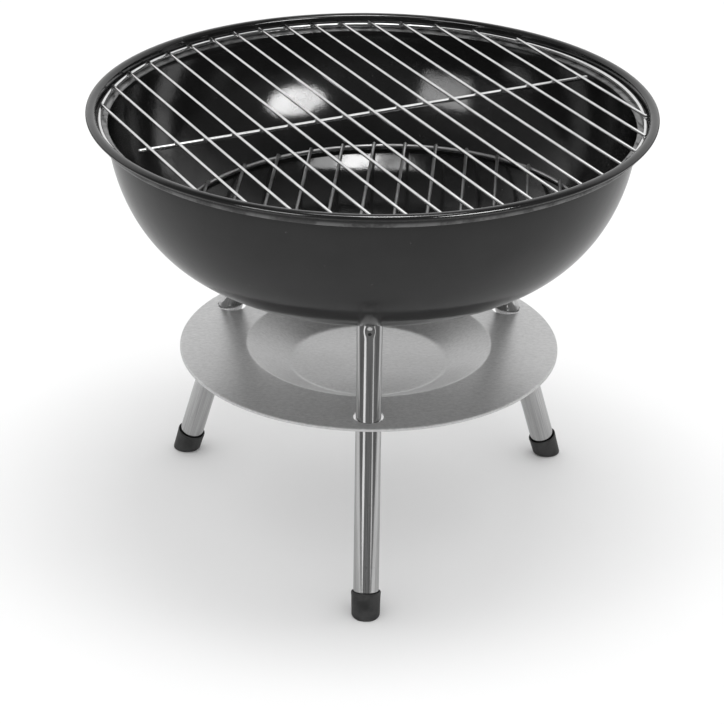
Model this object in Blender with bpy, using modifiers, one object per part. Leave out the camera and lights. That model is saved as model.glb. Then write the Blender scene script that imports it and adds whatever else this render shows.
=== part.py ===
"""Portable tabletop charcoal grill: an enamelled fire bowl on three splayed tube legs.

A sheet ash tray is threaded on the legs under the bowl, and two loose wire grates lie in
the bowl: the cooking grate on the ledge under the rim, the charcoal grate on the wall.
Units are metres. +Z is up, the floor is z = 0, and the bowl's axis is the Z axis.
"""
import math

import bpy
import numpy as np
from mathutils import Matrix, Vector

MM = 0.001
GAP = 0.3 * MM                       # clearance between pieces that touch

# Fire bowl: heights are measured down from the top of the rolled rim
RIM_TOP_Z = 285.5 * MM
RIM_OUTER_R = 180.0 * MM
BEAD_HALF_WIDTH = 3.0 * MM
BEAD_HALF_HEIGHT = 2.05 * MM
WALL = 1.0 * MM
LEDGE_DROP = 8.3 * MM                # rim top to the ledge that carries the cooking grate
LEDGE_CORNER = 0.8 * MM
BELLY_R = 166.9 * MM                 # widest outer radius under the ledge
BELLY_TOP_DROP = 9.0 * MM            # where the belly's curve starts
BELLY_DEPTH = 104.8 * MM
BELLY_FALL_POWER = 1.843
BELLY_ROUND_POWER = 3.93
BOWL_STEPS = 64
BOWL_CURVE_POINTS = 13
ASH_HOLE_COUNT = 6
ASH_HOLE_R = 5.0 * MM
ASH_HOLE_CIRCLE_R = 27.0 * MM
ASH_HOLE_TURN = math.radians(26.7)   # each hole is under a gap between the grates' bars

# Legs
LEG_AZIMUTHS = {"front": -90.0, "rear_right": 30.0, "rear_left": 150.0}
FOOT_CIRCLE_R = 145.5 * MM
FOOT_CENTRE_Z = 1.7 * MM             # a leg's lengths are counted from this height
LEG_SPLAY = math.radians(17.66)
TUBE_R = 8.0 * MM
TUBE_WALL = 1.0 * MM
TUBE_STEPS = 28
CRIMP_R = 1.9 * MM
CRIMP_DROP = 4.6 * MM                # tube top to the crimp hole's middle
CAP_LENGTH = 13.6 * MM
CAP_TOP_R = 9.35 * MM
CAP_BOTTOM_R = 8.85 * MM
CAP_ROOT = 4.0 * MM                  # how far the uncut cap reaches under a leg's origin
CAP_LIP = 0.4 * MM
CAP_FLOOR = 5.3 * MM
CAP_STEPS = 24

# Leg fasteners
BOLT_R = 3.0 * MM
BOLT_HEAD_R = 6.0 * MM
BOLT_HEAD_HEIGHT = 3.4 * MM
RECESS_LENGTH = 6.4 * MM
RECESS_WIDTH = 1.2 * MM
RECESS_DEPTH = 1.6 * MM
WASHER_R = 7.0 * MM
WASHER_THICKNESS = 1.0 * MM
INSERT_LENGTH = 13.0 * MM
INSERT_DROP = 0.8 * MM               # tube top to the insert's end face
FASTENER_STEPS = 20

# Ash tray
TRAY_Z = 120.0 * MM                  # top of the flange
TRAY_R = 123.8 * MM
TRAY_SHEET = 1.0 * MM
TRAY_LIP = 2.2 * MM
TRAY_CORNER = 1.2 * MM
DISH_R = 79.9 * MM
DISH_FLAT_R = 51.6 * MM
DISH_DEPTH = 13.9 * MM
DISH_EASE = 2.0 * MM
TRAY_STEPS = 64
TRAY_HOLE_R = 9.5 * MM

# Cooking grate
COOK_RING_R = 171.4 * MM
COOK_RING_WIRE_R = 1.5 * MM
COOK_WIRE_R = 1.0 * MM
COOK_CROSS_R = 1.4 * MM
COOK_WIRES = 17
COOK_PITCH = 18.95 * MM
COOK_OFFSET = -0.25 * MM
COOK_TURN = math.radians(26.7)
COOK_WIRE_OVERHANG = 1.0 * MM
COOK_CROSS_HALF = 158.0 * MM
COOK_CROSS_OFFSET = 1.3 * MM
COOK_RING_STEPS = 72

# Charcoal grate: it lies a little off centre, so it leans on the bowl's wall
COAL_RING_R = 134.5 * MM
COAL_RING_WIRE_R = 1.5 * MM
COAL_WIRE_R = 1.1 * MM
COAL_WIRES = 12
COAL_PITCH = 21.3 * MM
COAL_OFFSET = -1.1 * MM
COAL_TURN = math.radians(-3.88)
COAL_WIRE_OVERHANG = -0.3 * MM
COAL_SHIFT_X = 5.0 * MM
COAL_SHIFT_Y = -1.0 * MM
COAL_LEAN = math.radians(2.0)
COAL_RING_STEPS = 64
FACET_ALLOWANCE = 0.25 * MM          # the faceted bowl's wall lies this far inside the curve

RING_SECTION_STEPS = 8
TORUS_TURN = math.radians(360.0)
SMOOTH_ANGLE = math.radians(35.0)
MERGE = 0.00002

ENAMEL = ((0.012, 0.012, 0.013), 0.16, 0.0)
BRUSHED_STEEL = ((0.60, 0.60, 0.60), 0.32, 1.0)
POLISHED_STEEL = ((0.70, 0.70, 0.69), 0.14, 1.0)
CHROME = ((0.78, 0.78, 0.78), 0.08, 1.0)
DULL_CHROME = ((0.42, 0.42, 0.41), 0.30, 1.0)
ZINC = ((0.62, 0.62, 0.60), 0.35, 1.0)
RUBBER = ((0.018, 0.018, 0.018), 0.75, 0.0)


def clear_scene():
    """Take every object out of the open file."""
    for old in list(bpy.data.objects):
        bpy.data.objects.remove(old)


def new_collection(name):
    """Make a collection under the scene."""
    collection = bpy.data.collections.new(name)
    bpy.context.scene.collection.children.link(collection)
    return collection


def move_to(obj, collection):
    """Put an object in one collection only."""
    for old in list(obj.users_collection):
        old.objects.unlink(obj)
    collection.objects.link(obj)


def new_material(name, look):
    """Make a Principled material from (colour, roughness, metallic)."""
    colour, roughness, metallic = look
    material = bpy.data.materials.new(name)
    material.use_nodes = True
    shader = material.node_tree.nodes["Principled BSDF"]
    shader.inputs["Base Color"].default_value = (*colour, 1.0)
    shader.inputs["Roughness"].default_value = roughness
    shader.inputs["Metallic"].default_value = metallic
    return material


def turned(name, profile, steps, look):
    """Turn a profile of (radius, height) points round Z.

    The points run clockwise seen with the axis on the left: outwards over the top and
    down the outer side. A profile that starts off the axis is closed into a ring.
    """
    mesh = bpy.data.meshes.new(name)
    count = len(profile)
    edges = [(i, i + 1) for i in range(count - 1)]
    if profile[0][0] > MERGE:
        edges.append((count - 1, 0))
    mesh.from_pydata([(r, 0.0, z) for r, z in profile], edges, [])
    obj = bpy.data.objects.new(name, mesh)
    parts.objects.link(obj)
    screw = obj.modifiers.new("Turn", "SCREW")
    screw.axis = "Z"
    screw.angle = TORUS_TURN
    screw.steps = steps
    screw.render_steps = steps
    screw.use_merge_vertices = True
    screw.merge_threshold = MERGE
    screw.use_smooth_shade = True
    mesh.materials.append(new_material(name, look))
    return obj


def straight_wire(name, start, end, radius, look, parent):
    """A round wire from start to end, in the parent's coordinates."""
    curve = bpy.data.curves.new(name, "CURVE")
    curve.dimensions = "3D"
    curve.bevel_depth = radius
    curve.bevel_resolution = 2
    curve.use_fill_caps = True
    spline = curve.splines.new("POLY")
    spline.points.add(1)
    spline.points[0].co = (*start, 1.0)
    spline.points[1].co = (*end, 1.0)
    curve.materials.append(new_material(name, look))
    obj = bpy.data.objects.new(name, curve)
    parts.objects.link(obj)
    obj.parent = parent
    return obj


def ring_wire(name, radius, wire_radius, steps, look, parent):
    """A wire bent into a closed ring round its parent's Z axis."""
    bpy.ops.mesh.primitive_torus_add(
        major_radius=radius,
        minor_radius=wire_radius,
        major_segments=steps,
        minor_segments=RING_SECTION_STEPS,
    )
    obj = bpy.context.object
    obj.name = name
    obj.data.name = name
    obj.data.shade_smooth()
    obj.data.materials.append(new_material(name, look))
    move_to(obj, parts)
    obj.parent = parent
    return obj


def new_empty(name, location, rotation=(0.0, 0.0, 0.0)):
    """An empty that carries the pieces of one sub-assembly."""
    empty = bpy.data.objects.new(name, None)
    empty.location = location
    empty.rotation_euler = rotation
    parts.objects.link(empty)
    return empty


def cut(obj, cutter):
    """Cut one object from another with an exact Boolean."""
    cutter.hide_render = True
    cutter.display_type = "WIRE"
    move_to(cutter, cutters)
    boolean = obj.modifiers.new("Cut " + cutter.name, "BOOLEAN")
    boolean.operation = "DIFFERENCE"
    boolean.solver = "EXACT"
    boolean.object = cutter


def round_cutter(name, radius, length, matrix, sides=16):
    """A cylinder to cut with, its middle and axis given by a matrix."""
    bpy.ops.mesh.primitive_cylinder_add(vertices=sides, radius=radius, depth=length)
    cutter = bpy.context.object
    cutter.name = name
    cutter.matrix_world = matrix
    return cutter


def box_cutter(name, size, matrix):
    """A box to cut with, its size along its own axes and its middle given by a matrix."""
    bpy.ops.mesh.primitive_cube_add(size=1.0)
    cutter = bpy.context.object
    cutter.name = name
    cutter.data.transform(Matrix.Diagonal((*size, 1.0)))
    cutter.matrix_world = matrix
    return cutter


def smooth_by_angle(obj):
    """Shade an object smooth except across its sharp edges."""
    obj.data.shade_smooth()
    obj.data.set_sharp_from_angle(angle=SMOOTH_ANGLE)


def arc(centre, half_width, half_height, start, end, count):
    """Points of an elliptical arc, angles in degrees from +X towards +Z."""
    points = []
    for angle in np.radians(np.linspace(start, end, count)):
        r = centre[0] + half_width * math.cos(angle)
        z = centre[1] + half_height * math.sin(angle)
        points.append((r, z))
    return points


# ---------------------------------------------------------------- fire bowl

def belly_point(share):
    """Outer point of the belly; share is 0 at its top and 1 on the axis."""
    fall = math.sin(share * math.pi / 2.0)
    r = BELLY_R * max(0.0, 1.0 - fall ** BELLY_FALL_POWER) ** (1.0 / BELLY_ROUND_POWER)
    z = RIM_TOP_Z - BELLY_TOP_DROP - BELLY_DEPTH * fall
    return r, z


def belly_height(r):
    """Height of the belly's outer surface at a radius."""
    fall = (1.0 - (r / BELLY_R) ** BELLY_ROUND_POWER) ** (1.0 / BELLY_FALL_POWER)
    return RIM_TOP_Z - BELLY_TOP_DROP - BELLY_DEPTH * fall


def belly_curve(inset, count):
    """The belly from its top to the axis, moved in by inset along its normal."""
    points = []
    small = 0.001
    first = 0.018                    # just under the ledge
    for share in np.linspace(first, 1.0, count):
        r, z = belly_point(share)
        if share == 1.0:
            points.append((0.0, z + inset))
            continue
        ahead = belly_point(min(1.0, share + small))
        behind = belly_point(share - small)
        along = Vector((ahead[0] - behind[0], ahead[1] - behind[1])).normalized()
        points.append((r + along.y * inset, z - along.x * inset))
    return points


def bowl_profile():
    """Section of the bowl: inside from the axis up, over the bead, down the outside."""
    bead_r = RIM_OUTER_R - BEAD_HALF_WIDTH
    bead_z = RIM_TOP_Z - BEAD_HALF_HEIGHT
    wall_in = bead_r - BEAD_HALF_WIDTH
    wall_out = wall_in + WALL
    ledge_top = RIM_TOP_Z - LEDGE_DROP
    ledge_under = ledge_top - WALL
    inside = belly_curve(WALL, BOWL_CURVE_POINTS)
    inside.reverse()
    outside = belly_curve(0.0, BOWL_CURVE_POINTS)
    profile = inside
    profile.append((BELLY_R - WALL + LEDGE_CORNER, ledge_top))
    profile.append((wall_in - LEDGE_CORNER, ledge_top))
    profile.append((wall_in, ledge_top + LEDGE_CORNER))
    profile += arc((bead_r, bead_z), BEAD_HALF_WIDTH, BEAD_HALF_HEIGHT, 180.0, -110.0, 10)
    profile.append((wall_out, ledge_under + LEDGE_CORNER))
    profile.append((wall_out - LEDGE_CORNER, ledge_under))
    profile.append((BELLY_R + LEDGE_CORNER, ledge_under))
    profile += outside
    return profile


def make_fire_bowl(leg_frames):
    """The enamelled bowl with its ash holes and leg bolt holes."""
    bowl = turned("fire_bowl", bowl_profile(), BOWL_STEPS, ENAMEL)
    bottom = RIM_TOP_Z - BELLY_TOP_DROP - BELLY_DEPTH
    through = 20.0 * MM
    for index in range(ASH_HOLE_COUNT):
        angle = ASH_HOLE_TURN + TORUS_TURN * index / ASH_HOLE_COUNT
        x = ASH_HOLE_CIRCLE_R * math.cos(angle)
        y = ASH_HOLE_CIRCLE_R * math.sin(angle)
        place = Matrix.Translation((x, y, bottom))
        cut(bowl, round_cutter(f"ash_hole_{index + 1}", ASH_HOLE_R, through, place))
    for name, frame in leg_frames.items():
        place = frame @ Matrix.Translation((0.0, 0.0, leg_length() + GAP))
        cut(bowl, round_cutter("bolt_hole_" + name, BOLT_R + GAP, through, place))
    return bowl


# ---------------------------------------------------------------- legs

def leg_frame(azimuth):
    """Frame of a leg: origin just above the floor, inside the cap, +Z up along the tube."""
    turn = Matrix.Rotation(math.radians(azimuth), 4, "Z")
    place = Matrix.Translation((FOOT_CIRCLE_R, 0.0, FOOT_CENTRE_Z))
    lean = Matrix.Rotation(-LEG_SPLAY, 4, "Y")
    return turn @ place @ lean


def reach_to_belly(radius, inset, pick):
    """Distance up a leg's axis at which a disc of this radius meets the bowl's wall.

    pick is min for a piece that comes from below and max for one that lies inside.
    """
    frame = leg_frame(0.0)
    reaches = []
    for angle in np.linspace(0.0, TORUS_TURN, 25):
        side = (radius * math.cos(angle), radius * math.sin(angle))
        low, high = 150.0 * MM, 210.0 * MM
        for _ in range(40):
            middle = (low + high) / 2.0
            x, y, z = frame @ Vector((*side, middle))
            if z < belly_height(math.hypot(x, y)) + inset:
                low = middle
            else:
                high = middle
        reaches.append(low)
    return pick(reaches)


def leg_length():
    """Distance from the leg's origin to the tube's upper end."""
    return reach_to_belly(TUBE_R, 0.0, min) - GAP


def make_foot_cap(name, parent):
    """Rubber cap pushed over the tube's lower end, its sole level with the floor."""
    bore = TUBE_R + GAP
    profile = [
        (0.0, CAP_FLOOR),
        (bore, CAP_FLOOR),
        (bore, CAP_LENGTH),
        (CAP_TOP_R - CAP_LIP, CAP_LENGTH),
        (CAP_TOP_R, CAP_LENGTH - CAP_LIP),
        (CAP_BOTTOM_R, -CAP_ROOT),
        (0.0, -CAP_ROOT),
    ]
    cap = turned("foot_cap_" + name, profile, CAP_STEPS, RUBBER)
    cap.parent = parent
    side = 80.0 * MM
    below = parent.matrix_world.translation.copy()
    below.z = -side / 2.0
    cut(cap, box_cutter("floor_" + name, (side, side, side), Matrix.Translation(below)))
    return cap


def make_leg_tube(name, parent):
    """Steel tube with the crimp hole that holds its threaded insert."""
    bottom = CAP_FLOOR + GAP
    top = leg_length()
    inner = TUBE_R - TUBE_WALL
    profile = [(inner, bottom), (inner, top), (TUBE_R, top), (TUBE_R, bottom)]
    tube = turned("leg_tube_" + name, profile, TUBE_STEPS, POLISHED_STEEL)
    tube.parent = parent
    across = Matrix.Rotation(math.radians(90.0), 4, "Y")
    hole = Matrix.Translation((TUBE_R, 0.0, top - CRIMP_DROP)) @ across
    cutter = round_cutter("crimp_" + name, CRIMP_R, 3.0 * TUBE_WALL, parent.matrix_world @ hole)
    cut(tube, cutter)
    return tube


def make_leg_insert(name, parent):
    """Threaded plug in the tube's upper end."""
    top = leg_length() - INSERT_DROP
    outer = TUBE_R - TUBE_WALL - GAP
    inner = BOLT_R + GAP
    chamfer = 0.6 * MM
    profile = [
        (inner, top - INSERT_LENGTH),
        (inner, top),
        (outer - chamfer, top),
        (outer, top - chamfer),
        (outer, top - INSERT_LENGTH),
    ]
    insert = turned("leg_insert_" + name, profile, FASTENER_STEPS, ZINC)
    insert.parent = parent
    return insert


def washer_seat():
    """Where the washer's underside lies, along the leg's axis."""
    return reach_to_belly(WASHER_R, WALL * 1.1, max) + GAP


def make_washer(name, parent):
    """Flat washer under the bolt's head, inside the bowl."""
    low = washer_seat()
    high = low + WASHER_THICKNESS
    inner = BOLT_R + GAP
    profile = [(inner, low), (inner, high), (WASHER_R, high), (WASHER_R, low)]
    washer = turned("bolt_washer_" + name, profile, FASTENER_STEPS, ZINC)
    washer.parent = parent
    return washer


def make_bolt(name, parent):
    """Pan-head bolt from inside the bowl down into the leg's insert."""
    seat = washer_seat() + WASHER_THICKNESS + GAP
    end = leg_length() - INSERT_DROP - INSERT_LENGTH + 1.0 * MM
    crown = seat + BOLT_HEAD_HEIGHT
    profile = [(0.0, crown)]
    profile += arc((0.0, seat + 0.8 * MM), BOLT_HEAD_R, BOLT_HEAD_HEIGHT - 0.8 * MM, 65.0, 0.0, 4)
    profile += [
        (BOLT_HEAD_R, seat),
        (BOLT_R, seat),
        (BOLT_R, end + 0.7 * MM),
        (BOLT_R - 0.7 * MM, end),
        (0.0, end),
    ]
    bolt = turned("leg_bolt_" + name, profile, FASTENER_STEPS, ZINC)
    bolt.parent = parent
    for label, angle in (("a", 45.0), ("b", 135.0)):
        place = Matrix.Translation((0.0, 0.0, crown))
        place = parent.matrix_world @ place @ Matrix.Rotation(math.radians(angle), 4, "Z")
        size = (RECESS_LENGTH, RECESS_WIDTH, 2.0 * RECESS_DEPTH)
        cut(bolt, box_cutter(f"recess_{label}_{name}", size, place))
    return bolt


def make_leg(name, frame):
    """One leg with its cap, insert, washer and bolt."""
    parent = new_empty("leg_axis_" + name, frame.translation, frame.to_euler())
    bpy.context.view_layer.update()
    make_foot_cap(name, parent)
    make_leg_tube(name, parent)
    make_leg_insert(name, parent)
    make_washer(name, parent)
    make_bolt(name, parent)


# ---------------------------------------------------------------- ash tray

def sheet_below(path, thickness):
    """Close a sheet's upper line into a section by adding its lower line."""
    lower = []
    for index, (r, z) in enumerate(path):
        before = path[max(0, index - 1)]
        after = path[min(len(path) - 1, index + 1)]
        along = Vector((after[0] - before[0], after[1] - before[1])).normalized()
        x = 0.0 if r == 0.0 else r + along.y * thickness
        lower.append((x, z - along.x * thickness))
    lower.reverse()
    return path + lower


def make_ash_tray(leg_frames):
    """Spun sheet tray: a shallow dish, a flat flange and a lip turned down."""
    corner = (TRAY_R - TRAY_CORNER, TRAY_Z - TRAY_CORNER)
    path = [
        (0.0, TRAY_Z - DISH_DEPTH),
        (DISH_FLAT_R - DISH_EASE, TRAY_Z - DISH_DEPTH),
        (DISH_FLAT_R + 0.6 * DISH_EASE, TRAY_Z - DISH_DEPTH + 0.25 * DISH_EASE),
        (DISH_R - 0.6 * DISH_EASE, TRAY_Z - 0.35 * DISH_EASE),
        (DISH_R + 0.5 * DISH_EASE, TRAY_Z),
    ]
    path += arc(corner, TRAY_CORNER, TRAY_CORNER, 90.0, 0.0, 4)
    path.append((TRAY_R, TRAY_Z - TRAY_LIP))
    tray = turned("ash_tray", sheet_below(path, TRAY_SHEET), TRAY_STEPS, BRUSHED_STEEL)
    play = TRAY_HOLE_R - TUBE_R / math.cos(LEG_SPLAY) - GAP
    for name, frame in leg_frames.items():
        up_leg = (TRAY_Z - FOOT_CENTRE_Z) / math.cos(LEG_SPLAY)
        centre = frame @ Vector((0.0, 0.0, up_leg))
        inwards = 1.0 - play / math.hypot(centre.x, centre.y)
        place = Matrix.Translation((centre.x * inwards, centre.y * inwards, TRAY_Z))
        cut(tray, round_cutter("tray_hole_" + name, TRAY_HOLE_R, 4.0 * TRAY_LIP, place, 24))
    return tray


# ---------------------------------------------------------------- grates

def add_parallel_wires(stem, count, pitch, offset, turn, ring_r, reach, wire_r, height, look, parent):
    """Lay straight wires side by side on a ring, at right angles to the turned X axis."""
    across = Vector((math.cos(turn), math.sin(turn), 0.0))
    along = Vector((-math.sin(turn), math.cos(turn), 0.0))
    lift = Vector((0.0, 0.0, height))
    for index in range(count):
        place = (index - (count - 1) / 2.0) * pitch + offset
        half = math.sqrt(ring_r ** 2 - place ** 2) + reach
        middle = across * place + lift
        name = f"{stem}_{index + 1:02d}"
        straight_wire(name, middle - along * half, middle + along * half, wire_r, look, parent)


def make_cooking_grate():
    """Chromed grate on the bowl's ledge: ring, cross wire and parallel wires."""
    ring_z = RIM_TOP_Z - LEDGE_DROP + GAP + COOK_RING_WIRE_R
    parent = new_empty("cooking_grate_axis", (0.0, 0.0, ring_z))
    ring_wire("cooking_grate_ring", COOK_RING_R, COOK_RING_WIRE_R, COOK_RING_STEPS, CHROME, parent)
    height = COOK_RING_WIRE_R + GAP + COOK_WIRE_R
    add_parallel_wires(
        "cooking_grate_wire", COOK_WIRES, COOK_PITCH, COOK_OFFSET, COOK_TURN, COOK_RING_R,
        COOK_WIRE_OVERHANG, COOK_WIRE_R, height, CHROME, parent,
    )
    across = Vector((math.cos(COOK_TURN), math.sin(COOK_TURN), 0.0))
    along = Vector((-math.sin(COOK_TURN), math.cos(COOK_TURN), 0.0))
    middle = along * COOK_CROSS_OFFSET
    middle.z = height - COOK_WIRE_R - GAP - COOK_CROSS_R
    start = middle - across * COOK_CROSS_HALF
    end = middle + across * COOK_CROSS_HALF
    straight_wire("cooking_grate_cross_wire", start, end, COOK_CROSS_R, CHROME, parent)


def coal_ring_height():
    """Lowest height at which the leaning charcoal ring clears the bowl's wall."""
    wall = np.array(belly_curve(WALL, 400))
    angles = np.linspace(0.0, TORUS_TURN, 181)
    x = COAL_SHIFT_X + COAL_RING_R * np.cos(angles) * math.cos(COAL_LEAN)
    y = COAL_SHIFT_Y + COAL_RING_R * np.sin(angles)
    rise = COAL_RING_R * np.cos(angles) * math.sin(COAL_LEAN)
    r = np.hypot(x, y)
    needed = COAL_RING_WIRE_R + GAP + FACET_ALLOWANCE
    low = RIM_TOP_Z - BELLY_DEPTH
    high = RIM_TOP_Z - 0.5 * BELLY_DEPTH
    for _ in range(40):
        middle = (low + high) / 2.0
        away = np.hypot(r[:, None] - wall[:, 0], (middle + rise)[:, None] - wall[:, 1])
        if away.min() < needed or r.max() > np.interp(middle, wall[::-1, 1], wall[::-1, 0]) + needed:
            low = middle
        else:
            high = middle
    return high


def make_charcoal_grate():
    """Steel grate low in the bowl, resting on the curved wall."""
    place = (COAL_SHIFT_X, COAL_SHIFT_Y, coal_ring_height())
    parent = new_empty("charcoal_grate_axis", place, (0.0, -COAL_LEAN, 0.0))
    look = DULL_CHROME
    ring_wire("charcoal_grate_ring", COAL_RING_R, COAL_RING_WIRE_R, COAL_RING_STEPS, look, parent)
    height = COAL_RING_WIRE_R + GAP + COAL_WIRE_R
    add_parallel_wires(
        "charcoal_grate_wire", COAL_WIRES, COAL_PITCH, COAL_OFFSET, COAL_TURN, COAL_RING_R,
        COAL_WIRE_OVERHANG, COAL_WIRE_R, height, look, parent,
    )


clear_scene()
parts = new_collection("tabletop_grill")
cutters = new_collection("cutters")
frames = {name: leg_frame(azimuth) for name, azimuth in LEG_AZIMUTHS.items()}
make_fire_bowl(frames)
make_ash_tray(frames)
for leg_name, leg_axes in frames.items():
    make_leg(leg_name, leg_axes)
make_cooking_grate()
make_charcoal_grate()
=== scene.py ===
"""Looks of the portable tabletop grill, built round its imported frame.

Every piece is a profile turned about an axis: the bowl, the tray, the tubes, the rubber
caps, the wires and the rings. Lengths are metres, +Z is up and the table top is z = 0.
"""

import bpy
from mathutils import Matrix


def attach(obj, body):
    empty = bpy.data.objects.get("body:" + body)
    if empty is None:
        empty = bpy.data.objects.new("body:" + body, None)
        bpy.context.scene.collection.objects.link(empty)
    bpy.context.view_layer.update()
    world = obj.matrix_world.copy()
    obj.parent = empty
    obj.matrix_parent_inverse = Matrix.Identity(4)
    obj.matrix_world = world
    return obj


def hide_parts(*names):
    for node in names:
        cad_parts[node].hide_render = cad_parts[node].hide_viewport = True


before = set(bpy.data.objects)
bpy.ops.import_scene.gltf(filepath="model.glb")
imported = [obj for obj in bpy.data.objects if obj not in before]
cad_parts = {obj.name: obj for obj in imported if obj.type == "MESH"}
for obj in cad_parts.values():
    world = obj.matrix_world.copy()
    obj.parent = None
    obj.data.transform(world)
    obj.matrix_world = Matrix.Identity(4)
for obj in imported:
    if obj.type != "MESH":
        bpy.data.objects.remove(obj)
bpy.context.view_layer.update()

import math

import bmesh
import bpy
import numpy as np
from mathutils import Matrix, Vector

MM = 0.001
FULL_TURN = 2.0 * math.pi

# Fire bowl
RIM_TOP_Z = 285.48 * MM
RIM_OUTER_R = 179.9 * MM
BEAD_HALF_WIDTH = 3.0 * MM
BEAD_HALF_HEIGHT = 2.05 * MM
WALL = 1.0 * MM
LEDGE_DROP = 8.3 * MM
LEDGE_EASE_OUT = 1.0 * MM
LEDGE_EASE_IN = 1.1 * MM
WORN_BELOW = (0.4 * MM, 1.2 * MM)    # the worn band fades out between these under the ledge
WORN_ABOVE = (0.6 * MM, 2.4 * MM)    # and between these above it
BEAD_TUCK = -118.0                   # degrees round the bead to where its sheet ends
BELLY_R = 166.9 * MM
BELLY_TOP_DROP = 9.0 * MM
BELLY_DEPTH = 104.8 * MM
BELLY_FALL_POWER = 1.843
BELLY_ROUND_POWER = 3.93
BELLY_FIRST_SHARE = 0.018
BELLY_POINTS = 110
BOWL_STEPS = 256
ASH_HOLE_COUNT = 6
ASH_HOLE_R = 5.0 * MM
ASH_HOLE_CIRCLE_R = 27.0 * MM
ASH_HOLE_TURN = math.radians(26.7)
BOLT_HOLE_R = 3.3 * MM
ASH_HOLE_CUT = 9.0 * MM              # how far the cutting bars reach past the sheet
BOLT_CUT_BELOW = 8.0 * MM
BOLT_CUT_ABOVE = 10.0 * MM

# Legs
LEG_AZIMUTHS = {"front": -90.0, "rear_right": 30.0, "rear_left": 150.0}
FOOT_CIRCLE_R = 145.5 * MM
FOOT_CENTRE_Z = 1.7 * MM
LEG_SPLAY = math.radians(17.66)
LEG_LENGTH = 182.995 * MM
TUBE_R = 8.0 * MM
TUBE_WALL = 1.0 * MM
TUBE_FOOT = 5.6 * MM
CRIMP_R = 2.3 * MM
CRIMP_DEPTH = 0.95 * MM
CRIMP_DROP = 4.6 * MM
CRIMP_REACH = 12.0 * MM              # the tube's end that is meshed finely for the crimp
TUBE_EASE = 0.35 * MM
CAP_LENGTH = 13.6 * MM
CAP_ROOT = 4.0 * MM
CAP_EASE = 1.2 * MM
CAP_TOP_R = 9.35 * MM
CAP_BOTTOM_R = 8.85 * MM
CAP_FLOOR = 5.3 * MM
CAP_BORE = 8.05 * MM
CAP_MOUTH = 8.85 * MM
CAP_MOUTH_DEPTH = 1.6 * MM
CAP_LIP = 1.9 * MM                   # height of the thicker band at the mouth
CAP_LIP_STEP = 0.14 * MM

# Ash tray
TRAY_Z = 120.0 * MM
TRAY_R = 123.8 * MM
TRAY_SHEET = 1.0 * MM
TRAY_LIP = 2.2 * MM
DISH_R = 79.9 * MM
DISH_FLAT_R = 51.6 * MM
DISH_DEPTH = 13.9 * MM
TRAY_STEPS = 256
TRAY_HOLE_R = 9.5 * MM
TRAY_HOLE_CIRCLE_R = 107.0 * MM
TRAY_HOLE_FLARE = 0.22 * MM
TRAY_CUT = 4.0 * MM

# Cooking grate
COOK_RING_Z = 279.0 * MM
COOK_RING_R = 171.4 * MM
COOK_RING_WIRE_R = 1.5 * MM
COOK_WIRE_R = 1.0 * MM
COOK_CROSS_R = 1.4 * MM
COOK_WIRES = 17
COOK_PITCH = 18.95 * MM
COOK_OFFSET = -0.25 * MM
COOK_TURN = math.radians(26.7)
COOK_FAN = 0.00094                   # each bar leans this much more than its neighbour
COOK_WIRE_OVERHANG = 1.0 * MM
COOK_CROSS_HALF = 158.0 * MM
COOK_CROSS_OFFSET = 1.3 * MM

# Charcoal grate
COAL_PLACE = (5.0 * MM, -1.0 * MM, 204.52 * MM)
COAL_LEAN = math.radians(2.0)
COAL_RING_R = 134.5 * MM
COAL_RING_WIRE_R = 1.5 * MM
COAL_WIRE_R = 1.1 * MM
COAL_WIRES = 12
COAL_PITCH = 21.3 * MM
COAL_OFFSET = -1.1 * MM
COAL_TURN = math.radians(-3.88)
COAL_WIRE_OVERHANG = -0.3 * MM

WIRE_GAP = 0.3 * MM
WELD_SINK = 0.5 * MM                 # how far a welded wire has sunk into the ring
WELD_HALF_WIDTH = 1.75 * MM
WELD_HALF_HEIGHT = 0.85 * MM
WELD_DROP = 0.2 * MM

FLOOR_HALF = 12.0
AIM = Vector((0.0, 0.0, 0.24))       # what the soft boxes point at
CAMERA_PLACE = Vector((-0.00798, -1.52796, 0.86146))
CAMERA_DOWN = math.radians(26.36)
CAMERA_ROLL = math.radians(0.79)

SHARP = math.radians(38.0)
MERGE = 2.0e-6


# ---------------------------------------------------------------- surfaces

def turned(profile, axes=None, steps=96, closed=False, shape=None, look=0):
    """A surface of revolution: profile rows of (radius, height) carried round axes' Z.

    Point = radius * (cos a, sin a) across the axis and height along it, for evenly spaced
    angles a. shape may move the points while they are in the axes' own coordinates, which
    are kept beside the final ones. closed joins the last row to the first.
    """
    profile = np.asarray(profile, dtype=float)
    angles = np.arange(steps) * FULL_TURN / steps
    radius = profile[:, 0, None]
    own = np.stack([
        radius * np.cos(angles),
        radius * np.sin(angles),
        np.repeat(profile[:, 1, None], steps, axis=1),
    ], axis=-1)
    if shape:
        own = shape(own)
    place = np.array(Matrix.Identity(4) if axes is None else axes)
    points = own @ place[:3, :3].T + place[:3, 3]
    return {"points": points, "own": own, "closed": closed, "look": look}


def grid_quads(rows, columns, closed):
    """Quads joining each grid point to its neighbours; columns always wrap round."""
    row = np.arange(rows if closed else rows - 1)[:, None]
    column = np.arange(columns)[None, :]
    next_row = (row + 1) % rows
    next_column = (column + 1) % columns
    corners = [
        row * columns + column,
        row * columns + next_column,
        next_row * columns + next_column,
        next_row * columns + column,
    ]
    return np.stack(np.broadcast_arrays(*corners), axis=-1).reshape(-1, 4)


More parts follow.
